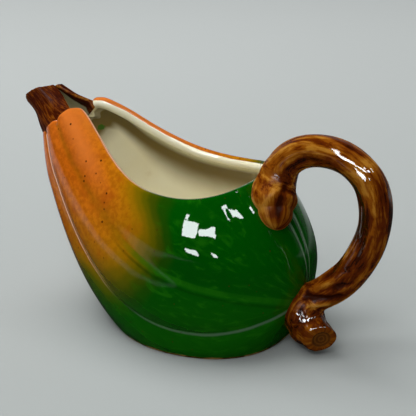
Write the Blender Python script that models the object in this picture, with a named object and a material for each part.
"""Glazed earthenware sauce boat in the shape of a ribbed gourd.

The gourd lies on its flattened underside with its neck rising to the -X end. The neck ends in a
brown stem that is open along its top and works as the pouring lip. The handle is a thick branch
that loops from the +X end of the rim down to a knot near the foot, where a short sawn-off twig
points away from the body.

Frame: +Z up, origin on the table under the middle of the foot, X from the lip (-X) to the
handle (+X). Apart from details, the body is symmetric about the XZ plane.
Dimensions are in millimetres and angles in radians.
"""

import math

import bmesh
import bpy
import numpy as np
from mathutils import Vector

MM = 0.001
SHARP_ANGLE = math.radians(42)  # edges that turn more than this are shaded sharp

GAP = 0.3  # clearance left between neighbouring pieces
WALL = 5.0  # cast wall
FLOOR = 6.0  # height of the bowl's floor over the table

# ---- gourd dimensions ----
# Spine (x, z): cubic Bezier from the low blossom end at +X to the shoulder under the stem.
SPINE = np.array(((38.6, 23.4), (17.2, 30.0), (-31.0, 25.2), (-95.4, 99.8)))
GIRTH = (
    # share of the spine, radius in the XZ plane, half width along Y
    (0.00, 39.3, 35.2),
    (0.25, 47.7, 43.9),
    (0.50, 58.2, 52.8),
    (0.75, 49.9, 43.2),
    (1.00, 22.6, 19.0),
)
DOME_SPAN = 0.34  # share of the spine over which the blossom end rounds off
DOME_POWER = 2.2
SHOULDER = 0.14  # share of its radius the neck loses at the shoulder
SHOULDER_SPAN = 0.07  # share of the spine over which it does so
FLATNESS = 2.27  # superellipse power of the underside; 2 is round
FLATNESS_FADE = 1.6  # the higher, the nearer the shoulder the section starts to turn round

# Grooves between the ribs, on each side; angles are measured from the underside.
GROOVES = (
    # angle at blossom end, angle at shoulder, depth, half angle
    (0.42, 0.36, 0.9, 0.34),
    (1.35, 1.01, 2.0, 0.30),
    (1.88, 1.67, 1.5, 0.30),
    (2.47, 2.34, 0.9, 0.26),
    (3.05, 3.05, 1.3, 0.26),
)
GROOVE_START = 0.10  # share of the spine over which the grooves set in
GROOVE_START_POWER = 0.8
GROOVE_END_DEPTH = 0.62  # depth towards both ends of the spine, as a share of that at its middle
GROOVE_FULL_RADIUS = 12.0  # sections smaller than this have shallower grooves

STATION_POWER = 1.35  # above 1 crowds the mesh rings towards the blossom end
SKIN_MESH = {"rings": 30, "segments": 68}
HOLLOW_MESH = {"rings": 22, "segments": 44}
HOLLOW_RIBS = 0.25  # share of the groove depth that shows inside
HOLLOW_END = 1.05  # the hollow runs on past the shoulder, in lengths of spine parameter
FLOOR_SAG = 0.02  # share of its depth below FLOOR that the hollow keeps

# Rim: the boat-shaped sweep of the opening.
RIM = np.array((
    # x, height
    (-100.0, 111.1), (-85.0, 107.2), (-75.0, 103.2), (-58.0, 91.4), (-40.0, 81.8),
    (-20.0, 77.9), (0.0, 78.9), (15.0, 83.5), (32.0, 94.0),
))
RIM_CUT_X = (-112.0, 44.0)
RIM_CUT_POINTS = 53
RIM_CUT_TOP = 150.0
RIM_CUT_HALF_WIDTH = 75.0

# Block under the table plane that flattens the foot.
TABLE_X = (-130.0, 80.0)
TABLE_HALF_WIDTH = 80.0
TABLE_DEPTH = 60.0

# ---- stem dimensions ----
STEM = np.array((
    # station, lowest point x, z, tilt of the section above +X, radius in the XZ plane,
    # half width along Y, half angle of the slot
    (0.00, -109.8, 85.6, 0.718, 17.8, 14.8, 0.90),
    (0.36, -114.0, 92.8, 0.66, 15.0, 12.4, 0.66),
    (0.70, -116.8, 98.9, 0.58, 13.2, 11.0, 0.46),
    (1.00, -122.0, 104.0, 0.50, 12.4, 11.2, 0.32),
))
STEM_STEPS = 10
STEM_ARC_POINTS = 22  # on each of the outer and inner arcs
STEM_WALL = 3.4
STEM_TIP_CROWN = 2.4  # how far the tip's sides stand out past its lowest point
STEM_TIP_DROP = 2.2  # how much lower the tip ends on the +Y side

# ---- branch dimensions ----
# Stations are (x, y, z, radius) along the centre line; rough is the height of the bark
# swellings and seed shifts them.
ROOT = {
    "stations": (
        (24.6, -3.2, 86.0, 8.4), (24.8, -5.6, 79.5, 10.6),
        (27.0, -9.4, 71.0, 10.6), (29.6, -12.6, 63.4, 4.6),
    ),
    "steps": 12, "segments": 22, "rough": 0.18, "seed": 0.6,
}
KNOT = {
    "stations": (
        (44.2, -3.2, 28.0, 8.0), (41.8, -5.0, 22.0, 10.2),
        (41.2, -5.8, 16.0, 9.8), (42.6, -7.4, 11.6, 7.2),
    ),
    "steps": 12, "segments": 22, "rough": 0.25, "seed": 1.9,
}
HANDLE = {
    "stations": (
        (25.4, -2.8, 84.0, 8.6), (27.6, -2.0, 91.4, 8.2), (35.4, -0.8, 98.6, 8.0),
        (48.6, 0.0, 101.0, 7.8), (60.0, 0.0, 98.4, 7.8), (70.0, 0.0, 90.8, 7.9),
        (74.6, 0.0, 77.6, 8.0), (74.0, 0.0, 65.6, 8.0), (68.0, -0.2, 49.8, 8.2),
        (57.0, -0.8, 35.8, 8.3), (45.0, -2.0, 26.4, 8.6),
    ),
    "steps": 46, "segments": 20, "rough": 0.16, "seed": 0.2,
}
STUB = {
    "stations": ((43.4, -6.6, 14.6, 7.4), (48.2, -9.2, 12.4, 8.2), (54.4, -12.4, 10.2, 7.6)),
    "steps": 9, "segments": 20, "rough": 0.2, "seed": 2.4,
}
STUB_CUT = (0.62, -0.74, -0.26)  # the saw cut faces this way
END_HEIGHT = 0.62  # height of a tube's domed end, as a share of its radius
END_RINGS = (0.35, 0.65, 0.88)  # shares of that height

# ---- glazes ----
GLAZE_COAT = 1.0
BODY_GLAZE = {"colour": (0.012, 0.075, 0.010), "roughness": 0.08}
STEM_GLAZE = {"colour": (0.13, 0.045, 0.010), "roughness": 0.10}
BRANCH_GLAZE = {"colour": (0.16, 0.062, 0.014), "roughness": 0.12}


# ---- curves and surfaces ----
def unit(vector):
    return vector / np.linalg.norm(vector)


def turn_angles(segments):
    return np.linspace(0, 2 * math.pi, segments, endpoint=False)


def spline(knots, rows, t):
    """Natural cubic spline through one row of values per knot; t is a number or an array."""
    knots = np.asarray(knots, float)
    rows = np.asarray(rows, float)
    last = len(knots) - 1
    step = np.diff(knots)
    slope = np.diff(rows, axis=0) / step[:, None]
    system = np.eye(last + 1)
    right = np.zeros_like(rows)
    for i in range(1, last):
        system[i, i - 1:i + 2] = step[i - 1], 2 * (step[i - 1] + step[i]), step[i]
        right[i] = 6 * (slope[i] - slope[i - 1])
    bend = np.linalg.solve(system, right)  # second derivatives at the knots

    i = np.clip(np.searchsorted(knots, t) - 1, 0, last - 1)
    before = ((knots[i + 1] - t) / step[i])[..., None]
    after = 1 - before
    curve = (before**3 - before) * bend[i] + (after**3 - after) * bend[i + 1]
    return before * rows[i] + after * rows[i + 1] + curve * (step[i] ** 2 / 6)[..., None]


def spine(s):
    """Centre and unit tangent (x, z) of the spine; it runs on straight past the shoulder."""
    start, pull_start, pull_end, end = SPINE
    t = min(s, 1.0)
    u = 1 - t
    centre = u**3 * start + 3 * u**2 * t * pull_start + 3 * u * t**2 * pull_end + t**3 * end
    centre = centre + max(s - 1.0, 0.0) * 3 * (end - pull_end)
    tangent = (
        u**2 * (pull_start - start) + 2 * u * t * (pull_end - pull_start) + t**2 * (end - pull_end)
    )
    return centre, unit(tangent)


def groove_depth(share, phi):
    """How far the grooves pull the skin in."""
    side = np.abs(np.arctan2(np.sin(phi), np.cos(phi)))
    total = np.zeros_like(phi)
    for at_blossom, at_shoulder, depth, half_angle in GROOVES:
        angle = at_blossom + (at_shoulder - at_blossom) * share
        total += depth * np.clip(1 - np.abs(side - angle) / half_angle, 0.0, 1.0) ** 2
    start = min(share / GROOVE_START, 1.0) ** GROOVE_START_POWER
    middle = GROOVE_END_DEPTH + (1 - GROOVE_END_DEPTH) * math.sin(math.pi * share)
    return total * start * middle


def gourd_ring(s, phi, grow, ribs):
    """Section of the skin at s > 0. phi is 0 on the underside and grows towards -Y."""
    share = min(s, 1.0)
    dome = math.sqrt(1 - (1 - min(share / DOME_SPAN, 1.0)) ** DOME_POWER)
    into_shoulder = max((share - 1 + SHOULDER_SPAN) / SHOULDER_SPAN, 0.0)
    girth = np.array(GIRTH)
    size = spline(girth[:, 0], girth[:, 1:], share) * dome * (1 - SHOULDER * into_shoulder**2)
    radius, half_width = size

    sine, cosine = np.sin(phi), np.cos(phi)
    flat = np.sqrt(np.clip(cosine, 0, 1)) * min((1 - share) * FLATNESS_FADE, 1.0)
    power = 2 + (FLATNESS - 2) * flat
    reach = (np.abs(sine / half_width) ** power + np.abs(cosine / radius) ** power) ** (-1 / power)
    groove = groove_depth(share, phi) * np.minimum(1.0, reach / GROOVE_FULL_RADIUS)
    reach = np.maximum(reach + grow - ribs * groove, 0.0)

    centre, tangent = spine(s)
    down = reach * cosine
    x = centre[0] - down * tangent[1]
    z = centre[1] + down * tangent[0]
    return np.stack([x, -reach * sine, z], 1)


def tube_rings(stations, steps, segments, rough, seed, grow=0.0):
    """Rings round a smooth path with soft bark swellings, and their centres, radii, tangents."""
    stations = np.array(stations)
    spans = np.linalg.norm(np.diff(stations[:, :3], axis=0), axis=1)
    length = np.concatenate([[0], np.cumsum(spans)])
    along = np.linspace(0, length[-1], steps)
    smooth = spline(length, stations, along)
    centres = smooth[:, :3]
    radii = smooth[:, 3] + grow
    tangents = np.gradient(centres, axis=0)
    tangents /= np.linalg.norm(tangents, axis=1)[:, None]

    angles = turn_angles(segments)
    side = np.cross(tangents[0], (0.0, 1.0, 0.0))
    rings = []
    for centre, radius, tangent, t in zip(centres, radii, tangents, along):
        # Carrying the side direction along the path keeps the rings from twisting.
        side = unit(side - tangent * (side @ tangent))
        other = np.cross(tangent, side)
        swelling = (
            np.sin(2 * angles + 0.11 * t + seed)
            + 0.7 * np.sin(3 * angles - 0.17 * t + 2 * seed)
            + 0.6 * math.sin(0.23 * t + seed)
        )
        reach = radius + rough * swelling
        across = np.outer(np.cos(angles) * reach, side)
        rings.append(centre + across + np.outer(np.sin(angles) * reach, other))
    return rings, centres, radii, tangents


# ---- meshes ----
def loft(name, rings, first_tip=None, last_tip=None):
    """Closed skin over rings of equal count; an end is a flat cap unless it has a tip point."""
    bm = bmesh.new()
    rows = [[bm.verts.new(Vector(point) * MM) for point in ring] for ring in rings]
    count = len(rows[0])
    for low, high in zip(rows, rows[1:]):
        for j in range(count):
            after = (j + 1) % count
            bm.faces.new((low[j], low[after], high[after], high[j]))
    for row, tip in ((rows[0], first_tip), (rows[-1], last_tip)):
        if tip is None:
            bm.faces.new(row)
        else:
            point = bm.verts.new(Vector(tip) * MM)
            for j in range(count):
                bm.faces.new((row[j], row[(j + 1) % count], point))
    bmesh.ops.recalc_face_normals(bm, faces=bm.faces)

    mesh = bpy.data.meshes.new(name)
    bm.to_mesh(mesh)
    bm.free()
    mesh.shade_smooth()
    mesh.set_sharp_from_angle(angle=SHARP_ANGLE)
    obj = bpy.data.objects.new(name, mesh)
    bpy.context.scene.collection.objects.link(obj)
    return obj


def gourd_solid(name, rings, segments, grow=0.0, ribs=1.0, last=1.0, floor=None):
    """Closed gourd from its blossom end to spine position last."""
    angles = turn_angles(segments)
    sections = []
    for s in last * np.linspace(0.0, 1.0, rings + 1)[1:] ** STATION_POWER:
        points = gourd_ring(s, angles, grow, ribs)
        if floor is not None:
            z = points[:, 2]
            points[:, 2] = np.where(z < floor, floor - FLOOR_SAG * (floor - z), z)
        sections.append(points)
    centre, tangent = spine(0.0)
    x, z = centre - grow * tangent
    return loft(name, sections, first_tip=(x, 0.0, z))


def domed_end(ring, centre, radius, outward):
    """Shrinking rings beyond a tube's end ring, and the tip that closes them."""
    rise = outward * radius * END_HEIGHT
    rings = [centre + rise * h + (ring - centre) * math.sqrt(1 - h * h) for h in END_RINGS]
    return rings, centre + rise


def domed_tube(name, shape, grow=0.0):
    rings, centres, radii, tangents = tube_rings(**shape, grow=grow)
    first, first_tip = domed_end(rings[0], centres[0], radii[0], -tangents[0])
    last, last_tip = domed_end(rings[-1], centres[-1], radii[-1], tangents[-1])
    return loft(name, first[::-1] + rings + last, first_tip, last_tip)


def cut(obj, cutter, name):
    cutter.hide_render = True
    cutter.display_type = "WIRE"
    modifier = obj.modifiers.new(name, "BOOLEAN")
    modifier.operation = "DIFFERENCE"
    modifier.solver = "EXACT"
    modifier.object = cutter


def glaze(obj, name, colour, roughness):
    """Glossy clear-coated glaze."""
    material = bpy.data.materials.new(name)
    material.use_nodes = True
    shader = material.node_tree.nodes["Principled BSDF"]
    shader.inputs["Base Color"].default_value = (*colour, 1.0)
    shader.inputs["Roughness"].default_value = roughness
    shader.inputs["Coat Weight"].default_value = GLAZE_COAT
    obj.data.materials.append(material)


# ---- pieces ----
def make_rim_sweep():
    """Prism along Y that takes away everything over the sweep of the rim."""
    x = np.linspace(*RIM_CUT_X, RIM_CUT_POINTS)
    # Past its first and last stations the rim runs on level.
    height = spline(RIM[:, 0], RIM[:, 1:], np.clip(x, RIM[0, 0], RIM[-1, 0]))[:, 0]
    outline = list(zip(x, height)) + [(end, RIM_CUT_TOP) for end in reversed(RIM_CUT_X)]
    sides = (-RIM_CUT_HALF_WIDTH, RIM_CUT_HALF_WIDTH)
    return loft("rim_sweep", [[(x, y, z) for x, z in outline] for y in sides])


def make_table():
    """Block whose top is the table plane."""
    low, high = TABLE_X
    y = TABLE_HALF_WIDTH
    corners = ((low, -y), (high, -y), (high, y), (low, y))
    return loft("table", [[(*corner, z) for corner in corners] for z in (-TABLE_DEPTH, 0.0)])


def make_body():
    body = gourd_solid("gourd_body", **SKIN_MESH)
    hollow = gourd_solid(
        "hollow", **HOLLOW_MESH, grow=-WALL, ribs=HOLLOW_RIBS, last=HOLLOW_END, floor=FLOOR
    )
    cut(body, hollow, "Hollow")
    cut(body, make_rim_sweep(), "Rim")
    cut(body, make_table(), "Foot")
    return body


def stem_ring(x, z, tilt, radius, half_width, slot):
    """C-shaped section: the outer arc, then the inner arc back; the slot faces up the tilt."""
    up_x, up_z = math.cos(tilt), math.sin(tilt)
    angles = np.linspace(slot, 2 * math.pi - slot, STEM_ARC_POINTS)
    arcs = []
    for inset, turn in ((0.0, angles), (STEM_WALL, angles[::-1])):
        rise = radius + (radius - inset) * np.cos(turn)
        y = (half_width - inset) * np.sin(turn)
        arcs.append(np.stack([x + up_x * rise, y, z + up_z * rise], 1))
    return np.vstack(arcs)


def make_stem():
    """Open stem that narrows from the shoulder to its sawn tip."""
    sections = spline(STEM[:, 0], STEM[:, 1:], np.linspace(0, 1, STEM_STEPS))
    rings = [stem_ring(*section) for section in sections]

    # The first section lies just off the shoulder's plane.
    (x, z), (along_x, along_z) = spine(1.0)
    along = np.array([along_x, 0.0, along_z])
    seat = np.array([x, 0.0, z]) + along * GAP
    rings[0] += np.outer((seat - rings[0]) @ along, along)

    # The tip's sides stand further out than its lowest point, -Y the furthest.
    _, _, tilt, _, half_width, _ = sections[-1]
    outward = np.array([-math.sin(tilt), 0.0, math.cos(tilt)])
    side = rings[-1][:, 1] / half_width
    rings[-1] += np.outer(STEM_TIP_CROWN * side**2 - STEM_TIP_DROP * np.maximum(side, 0), outward)
    return loft("stem_lip", rings)


def make_root(body_clearance):
    root = domed_tube("handle_root", ROOT)
    cut(root, body_clearance, "Body")
    return root


def make_knot(body_clearance):
    knot = domed_tube("branch_knot", KNOT)
    cut(knot, body_clearance, "Body")
    return knot


def make_handle(body_clearance, root_clearance, knot_clearance):
    handle = loft("branch_handle", tube_rings(**HANDLE)[0])
    cut(handle, body_clearance, "Body")
    cut(handle, root_clearance, "Root")
    cut(handle, knot_clearance, "Knot")
    return handle


def make_stub(knot_clearance):
    rings = tube_rings(**STUB)[0]
    before_tip, tip = np.array(STUB["stations"])[-2:, :3]
    axis = unit(tip - before_tip)
    normal = unit(np.array(STUB_CUT))
    # The saw cut is slanted: the last ring slides along the twig's axis into the cut plane.
    rings[-1] += np.outer((tip - rings[-1]) @ normal / (axis @ normal), axis)
    stub = loft("twig_stub", rings)
    cut(stub, knot_clearance, "Knot")
    return stub


def main():
    for obj in list(bpy.data.objects):
        bpy.data.objects.remove(obj, do_unlink=True)
    units = bpy.context.scene.unit_settings
    units.system = "METRIC"
    units.scale_length = 1.0

    glaze(make_body(), "green_orange_glaze", **BODY_GLAZE)
    glaze(make_stem(), "brown_stem_glaze", **STEM_GLAZE)

    body_clearance = gourd_solid("body_clearance", **SKIN_MESH, grow=GAP)
    root_clearance = domed_tube("root_clearance", ROOT, grow=GAP)
    knot_clearance = domed_tube("knot_clearance", KNOT, grow=GAP)
    branch_pieces = (
        make_root(body_clearance),
        make_knot(body_clearance),
        make_handle(body_clearance, root_clearance, knot_clearance),
        make_stub(knot_clearance),
    )
    for piece in branch_pieces:
        glaze(piece, piece.name + "_glaze", **BRANCH_GLAZE)


main()
